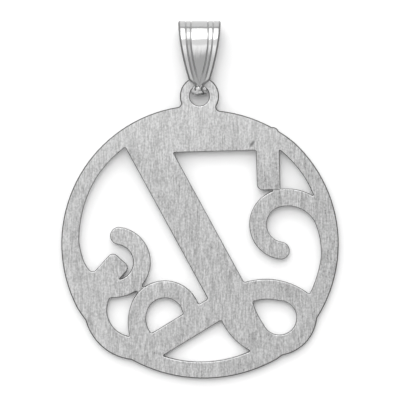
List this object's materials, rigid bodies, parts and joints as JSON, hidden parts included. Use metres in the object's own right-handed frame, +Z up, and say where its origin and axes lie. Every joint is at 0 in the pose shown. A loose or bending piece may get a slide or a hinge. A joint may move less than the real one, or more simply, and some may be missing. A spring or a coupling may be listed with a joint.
{
  "type": "initial pendant",
  "caption": "Round pierced pendant with a block initial, scrolls and corner loops inside its rim, an eye on top and a folded ribbed bail that swings in the eye.",
  "frame": {"origin": "on the surface the pendant lies on, under the middle of its footprint", "axes": "+Z up, +Y from the disc towards the bail, X across the disc; the satin back faces up"},
  "size_m": [0.025, 0.0322, 0.0037],
  "materials": {
    "satin_silver": "satin silver with a fine brushed grain",
    "polished_silver": "polished silver"
  },
  "bodies": {
    "disc": {"initial_disc": "satin_silver"},
    "bail": {"bail": "polished_silver"}
  },
  "joints": [
    {"name": "bail_hinge", "type": "hinge", "parent": "disc", "child": "bail", "pos_m": [-0.00005, 0.01072, 0.00125], "axis": [1, 0, 0], "range_deg": [0, 33]}
  ]
}
